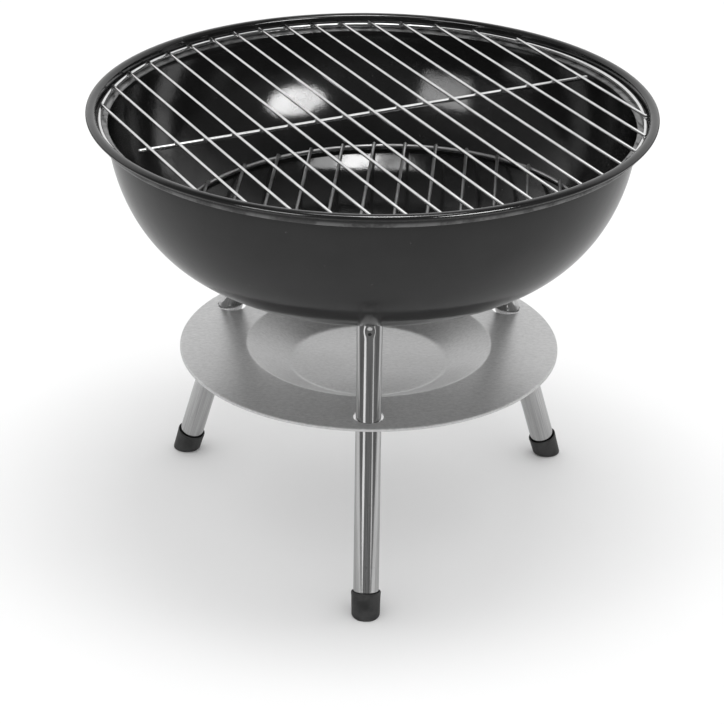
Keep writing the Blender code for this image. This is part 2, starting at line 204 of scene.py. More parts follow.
def make_piece(name, patches, looks, body, nodes):
    """Join grids into one closed mesh with outward faces, and tie it to the frame."""
    points = np.concatenate([patch["points"].reshape(-1, 3) for patch in patches])
    own = np.concatenate([patch["own"].reshape(-1, 3) for patch in patches])
    quads = []
    marks = []
    first = 0
    for patch in patches:
        rows, columns, _ = patch["points"].shape
        block = grid_quads(rows, columns, patch["closed"])
        quads.append(block + first)
        marks.append(np.full(len(block), patch["look"], dtype=np.int32))
        first += rows * columns
    quads = np.concatenate(quads)
    mesh = bpy.data.meshes.new(name)
    mesh.vertices.add(len(points))
    mesh.vertices.foreach_set("co", points.ravel())
    mesh.loops.add(quads.size)
    mesh.loops.foreach_set("vertex_index", quads.ravel().astype(np.int32))
    mesh.polygons.add(len(quads))
    mesh.polygons.foreach_set("loop_start", np.arange(0, quads.size, 4, dtype=np.int32))
    mesh.polygons.foreach_set("material_index", np.concatenate(marks))
    mesh.update(calc_edges=True)
    mesh.attributes.new("own", "FLOAT_VECTOR", "POINT").data.foreach_set("vector", own.ravel())
    for material in looks:
        mesh.materials.append(material)
    tidy_mesh(mesh)
    piece = bpy.data.objects.new(name, mesh)
    bpy.context.scene.collection.objects.link(piece)
    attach(piece, body)
    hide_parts(*nodes)
    return piece


def tidy_mesh(mesh):
    """Close seams and poles, turn the faces outwards and keep only real edges sharp."""
    work = bmesh.new()
    work.from_mesh(mesh)
    bmesh.ops.remove_doubles(work, verts=work.verts, dist=MERGE)
    bmesh.ops.recalc_face_normals(work, faces=work.faces)
    work.to_mesh(mesh)
    work.free()
    mesh.shade_smooth()
    mesh.set_sharp_from_angle(angle=SHARP)


def punched(piece, cutters):
    """Cut turned shapes out of a piece with exact Booleans, and keep the result."""
    tools = []
    for index, patch in enumerate(cutters):
        points = patch["points"].reshape(-1, 3)
        rows, columns, _ = patch["points"].shape
        mesh = bpy.data.meshes.new(f"{piece.name}_cutter_{index}")
        mesh.from_pydata(points.tolist(), [], grid_quads(rows, columns, False).tolist())
        tidy_mesh(mesh)
        tool = bpy.data.objects.new(mesh.name, mesh)
        bpy.context.scene.collection.objects.link(tool)
        boolean = piece.modifiers.new(tool.name, "BOOLEAN")
        boolean.operation = "DIFFERENCE"
        boolean.solver = "EXACT"
        boolean.object = tool
        tools.append(tool)
    graph = bpy.context.evaluated_depsgraph_get()
    result = bpy.data.meshes.new_from_object(piece.evaluated_get(graph))
    piece.modifiers.clear()
    piece.data = result
    result.name = piece.name
    result.shade_smooth()
    result.set_sharp_from_angle(angle=SHARP)
    for tool in tools:
        bpy.data.objects.remove(tool)


def arc(centre, half_width, half_height, start, end, count):
    """Points on an ellipse's arc, angles in degrees from outwards towards up."""
    angles = np.radians(np.linspace(start, end, count))
    return np.stack([
        centre[0] + half_width * np.cos(angles),
        centre[1] + half_height * np.sin(angles),
    ], axis=-1)


def eased(corners, count=7):
    """A path through (radius, height, ease) corners, each cut across by a smooth bend.

    The bend runs from a point ease before the corner to a point ease after it, as the
    quadratic curve (1 - t)^2 before + 2 t (1 - t) corner + t^2 after.
    """
    corners = np.asarray(corners, dtype=float)
    path = [corners[:1, :2]]
    share = np.linspace(0.0, 1.0, count)[:, None]
    for before, here, after in zip(corners[:-2], corners[1:-1], corners[2:]):
        corner = here[:2]
        back = before[:2] - corner
        ahead = after[:2] - corner
        start = corner + back / np.linalg.norm(back) * here[2]
        end = corner + ahead / np.linalg.norm(ahead) * here[2]
        path.append((1 - share) ** 2 * start + 2 * share * (1 - share) * corner + share ** 2 * end)
    path.append(corners[-1:, :2])
    return np.concatenate(path)


def inset_path(path, distance):
    """The path moved by a distance along its right-hand normal, kept off the axis."""
    along = np.gradient(path, axis=0)
    along /= np.linalg.norm(along, axis=1)[:, None]
    moved = path + np.stack([along[:, 1], -along[:, 0]], axis=-1) * distance
    moved[path[:, 0] == 0.0, 0] = 0.0
    return moved


def round_bar(start, end, radius, count=5):
    """Profile and axes of a straight wire whose two ends are rounded off.

    The radius follows a quarter ellipse at each end and is constant between.
    """
    start = Vector(start)
    end = Vector(end)
    length = (end - start).length
    nose = 0.55 * radius
    low = arc((0.0, nose), radius, nose, -90.0, 0.0, count)
    high = arc((0.0, length - nose), radius, nose, 0.0, 90.0, count)
    middle = np.stack([
        np.full(7, radius),
        np.linspace(nose, length - nose, 9)[1:-1],
    ], axis=-1)
    profile = np.concatenate([low, middle, high])
    profile[0, 0] = 0.0
    profile[-1, 0] = 0.0
    axes = (end - start).to_track_quat("Z", "Y").to_matrix().to_4x4()
    axes.translation = start
    return profile, axes


def wire_circle(radius, wire_radius, count=20):
    """Closed profile of a ring: a circle of the wire's radius at the ring's radius."""
    return arc((radius, 0.0), wire_radius, wire_radius, 0.0, 360.0, count + 1)[:-1]


# ---------------------------------------------------------------- shader groups

def feed(tree, socket, value):
    """Link a socket to an input, or set the input to a value."""
    if isinstance(value, bpy.types.NodeSocket):
        tree.links.new(value, socket)
    else:
        socket.default_value = value


def add(tree, kind, inputs=None, **settings):
    """Add a node, and set or link its inputs by name or number."""
    made = tree.nodes.new(kind)
    for key, value in settings.items():
        setattr(made, key, value)
    for key, value in (inputs or {}).items():
        feed(tree, made.inputs[key], value)
    return made


def math_node(tree, operation, first, second):
    """Output of a Math node on two values or sockets."""
    made = add(tree, "ShaderNodeMath", {0: first, 1: second}, operation=operation)
    return made.outputs[0]


def ramp(tree, value, low, high, to_low=0.0, to_high=1.0, smooth=True):
    """Output of a clamped Map Range node: low to high becomes to_low to to_high."""
    made = add(tree, "ShaderNodeMapRange", {
        "Value": value, "From Min": low, "From Max": high,
        "To Min": to_low, "To Max": to_high,
    })
    made.interpolation_type = "SMOOTHSTEP" if smooth else "LINEAR"
    return made.outputs["Result"]


def new_group(name, inputs, outputs):
    """A shader node group; returns its tree, its input sockets and its output node."""
    tree = bpy.data.node_groups.new(name, "ShaderNodeTree")
    for label, kind, value in inputs:
        socket = tree.interface.new_socket(label, in_out="INPUT", socket_type=kind)
        if value is not None:
            socket.default_value = value
    for label, kind in outputs:
        tree.interface.new_socket(label, in_out="OUTPUT", socket_type=kind)
    entry = tree.nodes.new("NodeGroupInput")
    leave = tree.nodes.new("NodeGroupOutput")
    return tree, entry.outputs, leave


def use_group(tree, group, inputs):
    """Place a group in a material with its own values."""
    made = tree.nodes.new("ShaderNodeGroup")
    made.node_tree = group
    for key, value in inputs.items():
        feed(tree, made.inputs[key], value)
    return made.outputs


def make_brush_group():
    """Drawn or brushed lines: noise squeezed across the brushing and drawn out along it."""
    tree, given, leave = new_group(
        "brush_lines",
        [
            ("Place", "NodeSocketVector", None),
            ("Stretch", "NodeSocketVector", (1.0, 1.0, 1.0)),
            ("Fineness", "NodeSocketFloat", 900.0),
        ],
        [("Lines", "NodeSocketFloat"), ("Scratches", "NodeSocketFloat")],
    )
    drawn = add(tree, "ShaderNodeVectorMath", {0: given["Place"], 1: given["Stretch"]},
                operation="MULTIPLY").outputs[0]
    lines = add(tree, "ShaderNodeTexNoise", {
        "Vector": drawn, "Scale": given["Fineness"], "Detail": 4.0, "Roughness": 0.65,
    }).outputs["Fac"]
    coarse = math_node(tree, "MULTIPLY", given["Fineness"], 0.22)
    marks = add(tree, "ShaderNodeTexNoise", {
        "Vector": drawn, "Scale": coarse, "Detail": 2.0, "Roughness": 0.6,
    }).outputs["Fac"]
    tree.links.new(lines, leave.inputs["Lines"])
    tree.links.new(ramp(tree, marks, 0.60, 0.72), leave.inputs["Scratches"])
    return tree


def make_wear_group():
    """Handling marks: wide soft smudges and sparse specks of dust."""
    tree, given, leave = new_group(
        "smudges_and_dust",
        [
            ("Place", "NodeSocketVector", None),
            ("Smudge Fineness", "NodeSocketFloat", 25.0),
            ("Speck Fineness", "NodeSocketFloat", 260.0),
            ("Speck Amount", "NodeSocketFloat", 0.12),
        ],
        [("Smudges", "NodeSocketFloat"), ("Specks", "NodeSocketFloat")],
    )
    smudges = add(tree, "ShaderNodeTexNoise", {
        "Vector": given["Place"], "Scale": given["Smudge Fineness"], "Detail": 5.0,
        "Roughness": 0.6, "Distortion": 0.4,
    }).outputs["Fac"]
    cells = add(tree, "ShaderNodeTexVoronoi", {
        "Vector": given["Place"], "Scale": given["Speck Fineness"],
    })
    pick = add(tree, "ShaderNodeSeparateColor", {0: cells.outputs["Color"]}).outputs[0]
    chosen = math_node(tree, "LESS_THAN", pick, given["Speck Amount"])
    dots = ramp(tree, cells.outputs["Distance"], 0.12, 0.04)
    tree.links.new(ramp(tree, smudges, 0.35, 0.68), leave.inputs["Smudges"])
    tree.links.new(math_node(tree, "MULTIPLY", chosen, dots), leave.inputs["Specks"])
    return tree


def make_peel_group():
    """Orange peel of fired enamel or moulded rubber: fine dimples over slow waves."""
    tree, given, leave = new_group(
        "orange_peel",
        [("Place", "NodeSocketVector", None), ("Fineness", "NodeSocketFloat", 700.0)],
        [("Height", "NodeSocketFloat")],
    )
    fine = add(tree, "ShaderNodeTexNoise", {
        "Vector": given["Place"], "Scale": given["Fineness"], "Detail": 2.0,
        "Roughness": 0.5,
    }).outputs["Fac"]
    slow_scale = math_node(tree, "MULTIPLY", given["Fineness"], 0.12)
    slow = add(tree, "ShaderNodeTexNoise", {
        "Vector": given["Place"], "Scale": slow_scale, "Detail": 1.0,
    }).outputs["Fac"]
    waves = math_node(tree, "MULTIPLY", slow, 2.2)
    tree.links.new(math_node(tree, "ADD", fine, waves), leave.inputs["Height"])
    return tree


brush_lines = make_brush_group()
smudges_and_dust = make_wear_group()
orange_peel = make_peel_group()


def new_material(name):
    """A new material, its node tree and its Principled shader."""
    material = bpy.data.materials.new(name)
    material.use_nodes = True
    tree = material.node_tree
    shader = tree.nodes["Principled BSDF"]
    return material, tree, shader


def object_place(tree):
    """The piece's Object coordinates, in metres."""
    return add(tree, "ShaderNodeTexCoord").outputs["Object"]


def own_place(tree):
    """The piece's own coordinates: across, across and along its axis, in metres."""
    return add(tree, "ShaderNodeAttribute", attribute_name="own").outputs["Vector"]


def bump(tree, shader, height, distance, strength=1.0):
    """Feed a height into the shader's normal."""
    made = add(tree, "ShaderNodeBump", {
        "Height": height, "Distance": distance, "Strength": strength,
    })
    tree.links.new(made.outputs["Normal"], shader.inputs["Normal"])


def grey(level):
    """A neutral colour."""
    return (level, level, level, 1.0)


def mixed(tree, factor, first, second):
    """Colour between two greys, or between a colour's socket and a grey, by a mask."""
    made = add(tree, "ShaderNodeMix", {0: factor}, data_type="RGBA")
    for number, value in ((6, first), (7, second)):
        socket = isinstance(value, bpy.types.NodeSocket)
        feed(tree, made.inputs[number], value if socket else grey(value))
    return made.outputs[2]


def make_enamel(name, roughness, smudge_gain, peel_depth, peel_fineness):
    """Fired black enamel: near-black glass with orange peel, smudges and dust.

    Where the cooking grate lies on the ledge, it is rubbed paler in patches.
    """
    material, tree, shader = new_material(name)
    place = object_place(tree)
    wear = use_group(tree, smudges_and_dust, {
        "Place": place, "Smudge Fineness": 22.0, "Speck Fineness": 180.0,
        "Speck Amount": 0.10,
    })
    peel = use_group(tree, orange_peel, {"Place": place, "Fineness": peel_fineness})
    base = mixed(tree, wear["Smudges"], 0.009, 0.013)
    height = add(tree, "ShaderNodeSeparateXYZ", {0: place}).outputs["Z"]
    ledge = RIM_TOP_Z - LEDGE_DROP
    above = ramp(tree, height, ledge - WORN_BELOW[1], ledge - WORN_BELOW[0])
    below = ramp(tree, height, ledge + WORN_ABOVE[1], ledge + WORN_ABOVE[0])
    rubbed = math_node(tree, "MULTIPLY", above, below)
    patchy = ramp(tree, peel["Height"], 1.1, 1.9, 0.25, 1.0)
    base = mixed(tree, math_node(tree, "MULTIPLY", rubbed, patchy), base, 0.11)
    tree.links.new(mixed(tree, wear["Specks"], base, 0.05), shader.inputs["Base Color"])
    rough = ramp(tree, wear["Smudges"], 0.0, 1.0, roughness, roughness + smudge_gain, False)
    tree.links.new(rough, shader.inputs["Roughness"])
    shader.inputs["IOR"].default_value = 1.47
    bump(tree, shader, peel["Height"], peel_depth)
    return material


def make_brushed_sheet():
    """Satin stainless sheet, brushed in one direction before it was spun."""
    material, tree, shader = new_material("brushed_sheet")
    place = object_place(tree)
    lines = use_group(tree, brush_lines, {
        "Place": place, "Stretch": (0.35, 1.0, 1.0), "Fineness": 800.0,
    })
    grain = use_group(tree, brush_lines, {
        "Place": place, "Stretch": (0.8, 1.0, 1.0), "Fineness": 520.0,
    })
    wear = use_group(tree, smudges_and_dust, {
        "Place": place, "Smudge Fineness": 14.0, "Speck Fineness": 150.0,
        "Speck Amount": 0.05,
    })
    total = math_node(tree, "ADD", lines["Lines"], grain["Lines"])
    both = math_node(tree, "MULTIPLY", total, 0.5)
    base = mixed(tree, ramp(tree, both, 0.36, 0.64, smooth=False), 0.54, 0.72)
    tree.links.new(mixed(tree, wear["Specks"], base, 0.42), shader.inputs["Base Color"])
    spread = ramp(tree, lines["Lines"], 0.3, 0.7, 0.28, 0.36)
    haze = math_node(tree, "MULTIPLY", wear["Smudges"], 0.05)
    tree.links.new(math_node(tree, "ADD", spread, haze), shader.inputs["Roughness"])
    shader.inputs["Metallic"].default_value = 0.6
    bump(tree, shader, both, 0.00004)
    return material


def make_polished_tube():
    """Stainless tube polished lengthwise, with fine scratches along it."""
    material, tree, shader = new_material("polished_tube")
    place = own_place(tree)
    lines = use_group(tree, brush_lines, {
        "Place": place, "Stretch": (1.0, 1.0, 0.012), "Fineness": 1500.0,
    })
    around = use_group(tree, brush_lines, {
        "Place": place, "Stretch": (0.15, 0.15, 1.0), "Fineness": 1300.0,
    })
    wear = use_group(tree, smudges_and_dust, {
        "Place": place, "Smudge Fineness": 40.0, "Speck Fineness": 300.0,
        "Speck Amount": 0.05,
    })
    base = mixed(tree, ramp(tree, lines["Lines"], 0.3, 0.7), 0.50, 0.74)
    tree.links.new(mixed(tree, around["Scratches"], base, 0.60), shader.inputs["Base Color"])
    spread = ramp(tree, lines["Lines"], 0.3, 0.7, 0.06, 0.11)
    haze = math_node(tree, "MULTIPLY", wear["Smudges"], 0.03)
    tree.links.new(math_node(tree, "ADD", spread, haze), shader.inputs["Roughness"])
    shader.inputs["Metallic"].default_value = 1.0
    fine = math_node(tree, "MULTIPLY", around["Lines"], 0.5)
    bump(tree, shader, math_node(tree, "ADD", lines["Lines"], fine), 0.00001)
    return material


def make_wire_finish(name, dark, light, roughness, ripple, grime):
    """Plated wire: lengthwise drawing lines, small ripples and grime in patches."""
    material, tree, shader = new_material(name)
    place = own_place(tree)
    lines = use_group(tree, brush_lines, {
        "Place": place, "Stretch": (1.0, 1.0, 0.05), "Fineness": 1600.0,
    })
    wear = use_group(tree, smudges_and_dust, {
        "Place": object_place(tree), "Smudge Fineness": 90.0, "Speck Fineness": 500.0,
        "Speck Amount": 0.06,
    })
    base = mixed(tree, lines["Lines"], dark, light)
    dirt = math_node(tree, "MULTIPLY", wear["Smudges"], grime)
    tree.links.new(mixed(tree, dirt, base, 0.5 * dark), shader.inputs["Base Color"])
    spread = ramp(tree, wear["Smudges"], 0.0, 1.0, roughness, 1.6 * roughness, False)
    tree.links.new(spread, shader.inputs["Roughness"])
    shader.inputs["Metallic"].default_value = 1.0
    peel = use_group(tree, orange_peel, {"Place": object_place(tree), "Fineness": 900.0})
    bump(tree, shader, peel["Height"], ripple)
    return material


def make_rubber():
    """Black moulded rubber: matte, a little dusty, with a fine texture."""
    material, tree, shader = new_material("moulded_rubber")
    place = object_place(tree)
    wear = use_group(tree, smudges_and_dust, {
        "Place": place, "Smudge Fineness": 120.0, "Speck Fineness": 500.0,
        "Speck Amount": 0.10,
    })
    peel = use_group(tree, orange_peel, {"Place": place, "Fineness": 2200.0})
    base = mixed(tree, wear["Smudges"], 0.018, 0.044)
    tree.links.new(mixed(tree, wear["Specks"], base, 0.09), shader.inputs["Base Color"])
    rough = ramp(tree, wear["Smudges"], 0.0, 1.0, 0.42, 0.60, False)
    tree.links.new(rough, shader.inputs["Roughness"])
    bump(tree, shader, peel["Height"], 0.00005)
    return material


def make_zinc():
    """Zinc plating on the bolts, washers and inserts: pale, slightly blotched."""
    material, tree, shader = new_material("zinc_plate")
    place = object_place(tree)
    wear = use_group(tree, smudges_and_dust, {
        "Place": place, "Smudge Fineness": 350.0, "Speck Fineness": 900.0,
        "Speck Amount": 0.10,
    })
    base = mixed(tree, wear["Smudges"], 0.48, 0.66)
    tree.links.new(mixed(tree, wear["Specks"], base, 0.20), shader.inputs["Base Color"])
    rough = ramp(tree, wear["Smudges"], 0.0, 1.0, 0.28, 0.42, False)
    tree.links.new(rough, shader.inputs["Roughness"])
    shader.inputs["Metallic"].default_value = 1.0
    peel = use_group(tree, orange_peel, {"Place": place, "Fineness": 2500.0})
    bump(tree, shader, peel["Height"], 0.00003)
    return material


enamel_inside = make_enamel("enamel_inside", 0.085, 0.035, 0.00003, 900.0)
enamel_outside = make_enamel("enamel_outside", 0.12, 0.06, 0.00003, 620.0)
brushed_sheet = make_brushed_sheet()
polished_tube = make_polished_tube()
bright_wire = make_wire_finish("bright_wire", 0.62, 0.84, 0.07, 0.000008, 0.2)
bright_weld = make_wire_finish("bright_weld", 0.32, 0.62, 0.20, 0.00008, 0.5)
dull_wire = make_wire_finish("dull_wire", 0.60, 0.78, 0.33, 0.00002, 0.25)
dull_weld = make_wire_finish("dull_weld", 0.30, 0.50, 0.40, 0.00008, 0.5)
moulded_rubber = make_rubber()
zinc_plate = make_zinc()


# ---------------------------------------------------------------- fire bowl

def belly_line(inset):
    """The belly's outer curve from under the ledge to the axis, moved in by inset.

    With fall from 0 to 1, radius = widest * (1 - fall^p)^(1/q) and height drops by
    depth * fall.
    """
    share = np.linspace(BELLY_FIRST_SHARE, 1.0, BELLY_POINTS)
    fall = np.sin(share * math.pi / 2.0)
    left = np.maximum(0.0, 1.0 - fall ** BELLY_FALL_POWER)
    radius = BELLY_R * left ** (1.0 / BELLY_ROUND_POWER)
    height = RIM_TOP_Z - BELLY_TOP_DROP - BELLY_DEPTH * fall
    line = np.stack([radius, height], axis=-1)
    line[-1, 0] = 0.0
    return inset_path(line, inset) if inset else line


def bowl_profiles():
    """Inner and outer halves of the bowl's section, meeting on the bead's outer side."""
    bead = (RIM_OUTER_R - BEAD_HALF_WIDTH, RIM_TOP_Z - BEAD_HALF_HEIGHT)
    wall_in = bead[0] - BEAD_HALF_WIDTH
    ledge = RIM_TOP_Z - LEDGE_DROP
    inside = belly_line(WALL)[::-1]
    ledge_path = eased([
        (*inside[-1], 0.0),
        (BELLY_R - 0.6 * WALL, ledge, LEDGE_EASE_OUT),
        (wall_in, ledge, LEDGE_EASE_IN),
        (wall_in, bead[1], 0.0),
    ])
    top = arc(bead, BEAD_HALF_WIDTH, BEAD_HALF_HEIGHT, 180.0, 0.0, 26)
    under = arc(bead, BEAD_HALF_WIDTH, BEAD_HALF_HEIGHT, 0.0, BEAD_TUCK, 18)
    outside = belly_line(0.0)
    rabbet = eased([
        (*under[-1], 0.0),
        (wall_in + WALL, under[-1, 1] - 0.1 * MM, 0.15 * MM),
        (wall_in + WALL, ledge - WALL, 1.4 * MM),
        (BELLY_R, ledge - WALL, 0.7 * MM),
        (*outside[1], 0.0),
    ])
    inner = np.concatenate([inside, ledge_path[1:-1], top])
    outer = np.concatenate([under, rabbet[1:-1], outside[1:]])
    return inner, outer


def leg_axes(azimuth):
    """A leg's axes: origin at the middle of its foot, Z up the tube, X outwards."""
    turn = Matrix.Rotation(math.radians(azimuth), 4, "Z")
    place = Matrix.Translation((FOOT_CIRCLE_R, 0.0, FOOT_CENTRE_Z))
    lean = Matrix.Rotation(-LEG_SPLAY, 4, "Y")
    return turn @ place @ lean


def plain_cutter(radius, low, high, axes, steps=48):
    """A closed round bar to cut with."""
    return turned([(0.0, low), (radius, low), (radius, high), (0.0, high)], axes, steps)


def make_fire_bowl():
    """The enamelled bowl, its holes cut through."""
    inner, outer = bowl_profiles()
    patches = [
        turned(inner, steps=BOWL_STEPS, look=0),
        turned(outer, steps=BOWL_STEPS, look=1),
    ]
    bowl = make_piece("enamelled_bowl", patches, [enamel_inside, enamel_outside],
                      "stand", ["fire_bowl"])
    bottom = RIM_TOP_Z - BELLY_TOP_DROP - BELLY_DEPTH
    cutters = []
    for index in range(ASH_HOLE_COUNT):
        angle = ASH_HOLE_TURN + FULL_TURN * index / ASH_HOLE_COUNT
        place = Matrix.Translation((
            ASH_HOLE_CIRCLE_R * math.cos(angle),
            ASH_HOLE_CIRCLE_R * math.sin(angle),
            bottom,
        ))
        cutters.append(plain_cutter(ASH_HOLE_R, -ASH_HOLE_CUT, ASH_HOLE_CUT, place))
    for azimuth in LEG_AZIMUTHS.values():
        low = LEG_LENGTH - BOLT_CUT_BELOW
        high = LEG_LENGTH + BOLT_CUT_ABOVE
        cutters.append(plain_cutter(BOLT_HOLE_R, low, high, leg_axes(azimuth)))
    punched(bowl, cutters)
    return bowl


# ---------------------------------------------------------------- ash tray

def make_ash_tray():
    """Spun tray: flat dish, sloping side, flat flange and a lip turned down."""
    path = eased([
        (0.0, TRAY_Z - DISH_DEPTH, 0.0),
        (DISH_FLAT_R, TRAY_Z - DISH_DEPTH, 2.4 * MM),
        (DISH_R, TRAY_Z, 1.0 * MM),
        (TRAY_R, TRAY_Z, 0.9 * MM),
        (TRAY_R, TRAY_Z - TRAY_LIP, 0.0),
    ], 12)
    radii = np.concatenate([np.linspace(0.0, DISH_FLAT_R - 5.0 * MM, 24)[:-1], path[1:, 0]])
    heights = np.concatenate([np.full(23, TRAY_Z - DISH_DEPTH), path[1:, 1]])
    upper = np.stack([radii, heights], axis=-1)
    lower = inset_path(upper, TRAY_SHEET)[::-1]
    half_sheet = 0.5 * TRAY_SHEET
    edge_rise = 0.5 * half_sheet
    edge = arc((TRAY_R - half_sheet, upper[-1, 1] + edge_rise), half_sheet, edge_rise,
               0.0, -180.0, 7)
    profile = np.concatenate([upper[:-1], edge, lower[1:]])
    tray = make_piece("spun_tray", [turned(profile, steps=TRAY_STEPS)], [brushed_sheet],
                      "stand", ["ash_tray"])
    middle = TRAY_Z - half_sheet
    wide = TRAY_HOLE_R + TRAY_HOLE_FLARE
    past = half_sheet + 0.02 * MM
    straight = half_sheet - TRAY_HOLE_FLARE
    profile = [
        (0.0, middle - TRAY_CUT),
        (wide + MM, middle - TRAY_CUT),
        (wide, middle - past),
        (TRAY_HOLE_R, middle - straight),
        (TRAY_HOLE_R, middle + straight),
        (wide, middle + past),
        (wide + MM, middle + TRAY_CUT),
        (0.0, middle + TRAY_CUT),
    ]
    cutters = []
    for azimuth in LEG_AZIMUTHS.values():
        angle = math.radians(azimuth)
        place = Matrix.Translation((
            TRAY_HOLE_CIRCLE_R * math.cos(angle), TRAY_HOLE_CIRCLE_R * math.sin(angle), 0.0,
        ))
        cutters.append(turned(profile, place, 72))
    punched(tray, cutters)


# ---------------------------------------------------------------- legs

def dented(own):
    """Press the crimp into a tube's upper end: a round dimple on its outward side.

    The wall moves in by depth * exp(-(distance / size)^2), distance measured round and
    along the wall.
    """
    x, y, z = own[..., 0], own[..., 1], own[..., 2]
    radius = np.hypot(x, y)
    angle = np.arctan2(y, x)
    away = np.hypot(angle * TUBE_R, z - (LEG_LENGTH - CRIMP_DROP)) / CRIMP_R
    dent = CRIMP_DEPTH * np.exp(-away ** 2)
    pressed = radius - dent
    return np.stack([pressed * np.cos(angle), pressed * np.sin(angle), z], axis=-1)


def make_leg_tube(name, axes):
    """Leg tube, open at both ends, with the crimp near its top."""
    inner = TUBE_R - TUBE_WALL
    low = TUBE_FOOT + TUBE_EASE
    high = LEG_LENGTH - TUBE_EASE
    fine_from = LEG_LENGTH - CRIMP_REACH
    rows = np.concatenate([
        np.linspace(low, fine_from, 30), np.linspace(fine_from, high, 49)[1:],
    ])
    outside = np.stack([np.full(len(rows), TUBE_R), rows], axis=-1)
    inside = np.stack([np.full(len(rows), inner), rows[::-1]], axis=-1)
    middle = 0.5 * (TUBE_R + inner)
    half = 0.5 * TUBE_WALL
    top = arc((middle, high), half, TUBE_EASE, 0.0, 180.0, 9)[1:-1]
    bottom = arc((middle, low), half, TUBE_EASE, 180.0, 360.0, 9)[1:-1]
    profile = np.concatenate([outside, top, inside, bottom])
    patch = turned(profile, axes, 128, closed=True, shape=dented)
    return make_piece("polished_leg_" + name, [patch], [polished_tube],
                      "stand", ["leg_tube_" + name])


def stood_on_floor(own):
    """Cut a cap level with the table and round its lower edge.

    A point under the table moves up along the leg to it. Where the wall is less than the
    ease above the table, it moves in as a quarter circle of that radius does.
    """
    x, y, z = own[..., 0], own[..., 1], own[..., 2]
    tilt = math.tan(LEG_SPLAY)
    floor_at = -(FOOT_CENTRE_Z / math.cos(LEG_SPLAY) + x * tilt)
    above = np.maximum((z - floor_at) * math.cos(LEG_SPLAY), 0.0)
    left = np.maximum(CAP_EASE - above, 0.0)
    pull = CAP_EASE - np.sqrt(CAP_EASE ** 2 - left ** 2)
    radius = np.hypot(x, y)
    outer = radius > CAP_BORE
    share = np.where(outer, (radius - pull) / np.maximum(radius, MERGE), 1.0)
    x, y = x * share, y * share
    floor_at = -(FOOT_CENTRE_Z / math.cos(LEG_SPLAY) + x * tilt)
    z = np.where(above > 0.0, np.maximum(z, floor_at), floor_at)
    return np.stack([x, y, z], axis=-1)


def make_foot_cap(name, axes):
    """Rubber cap with a soft lip and a flared mouth, its sole level with the table."""
    neck = CAP_LENGTH - CAP_LIP
    path = eased([
        (CAP_TOP_R - 0.16 * MM, CAP_LENGTH - 4.0 * MM, 0.0),
        (CAP_TOP_R - CAP_LIP_STEP, neck - 0.35 * MM, 0.2 * MM),
        (CAP_TOP_R, neck, 0.3 * MM),
        (CAP_TOP_R, CAP_LENGTH, 0.5 * MM),
        (CAP_MOUTH, CAP_LENGTH, 0.3 * MM),
        (CAP_BORE, CAP_LENGTH - CAP_MOUTH_DEPTH, 0.5 * MM),
        (CAP_BORE, CAP_FLOOR, 0.3 * MM),
        (0.0, CAP_FLOOR, 0.0),
    ])
    sole_r = np.linspace(0.0, CAP_BOTTOM_R - CAP_EASE, 8)
    sole = np.stack([sole_r, np.full(8, -CAP_ROOT)], axis=-1)
    side = np.linspace(-CAP_ROOT, CAP_LENGTH - 4.2 * MM, 56)
    wall_r = np.interp(side, [-CAP_ROOT, neck], [CAP_BOTTOM_R, CAP_TOP_R - CAP_LIP_STEP])
    wall = np.stack([wall_r, side], axis=-1)
    profile = np.concatenate([sole, wall, path])
    patch = turned(profile, axes, 96, shape=stood_on_floor)
    make_piece("rubber_cap_" + name, [patch], [moulded_rubber],
               "stand", ["foot_cap_" + name])


# ---------------------------------------------------------------- grates

def weld_lumps(centres, axes):
    """A small flattened lump of melted metal at each place: a half ellipse turned round."""
    profile = arc((0.0, 0.0), WELD_HALF_WIDTH, WELD_HALF_HEIGHT, -90.0, 90.0, 7)
    profile[0, 0] = 0.0
    profile[-1, 0] = 0.0
    return [
        turned(profile, axes @ Matrix.Translation(centre), 10)
        for centre in centres
    ]


def make_grate(stem, body, looks, spec):
    """A ring with straight wires welded on it side by side, and a lump at each weld.

    Wire n lies at n * pitch + offset across the ring, n counted from the middle, and
    leans n * fan further round. It reaches the ring's circle plus the overhang.
    """
    wire_look, weld_look = looks
    axes = spec["axes"]
    ring_nodes = [spec["node_stem"] + "_ring"]
    ring = turned(wire_circle(spec["ring_r"], spec["ring_wire_r"]), axes, 320, closed=True)
    pieces = [make_piece(stem + "_hoop", [ring], [wire_look], body, ring_nodes)]
    turn = spec["turn"]
    across = Vector((math.cos(turn), math.sin(turn), 0.0))
    height = spec["ring_wire_r"] + spec["wire_r"] + WIRE_GAP - WELD_SINK
    lift = Vector((0.0, 0.0, height))
    weld_lift = Vector((0.0, 0.0, spec["ring_wire_r"] - WELD_DROP))
    welds = []
    for index in range(spec["wires"]):
        step = index - (spec["wires"] - 1) / 2.0
        place = step * spec["pitch"] + spec["offset"]
        lean = turn + step * spec.get("fan", 0.0)
        along = Vector((-math.sin(lean), math.cos(lean), 0.0))
        to_ring = math.sqrt(spec["ring_r"] ** 2 - place ** 2)
        half = to_ring + spec["overhang"]
        middle = across * place + lift
        profile, own_axes = round_bar(middle - along * half, middle + along * half, spec["wire_r"])
        wire = turned(profile, axes @ own_axes, 16)
        label = f"{index + 1:02d}"
        pieces.append(make_piece(f"{stem}_bar_{label}", [wire], [wire_look], body,
                                 [f"{spec['node_stem']}_wire_{label}"]))
        for side in (-1.0, 1.0):
            welds.append(across * place + along * (side * to_ring) + weld_lift)
        if "cross_offset" in spec:
            welds.append(across * place + along * spec["cross_offset"] + weld_lift)
    lumps = weld_lumps(welds, axes)
    pieces.append(make_piece(stem + "_welds", lumps, [weld_look], body, []))
    return pieces


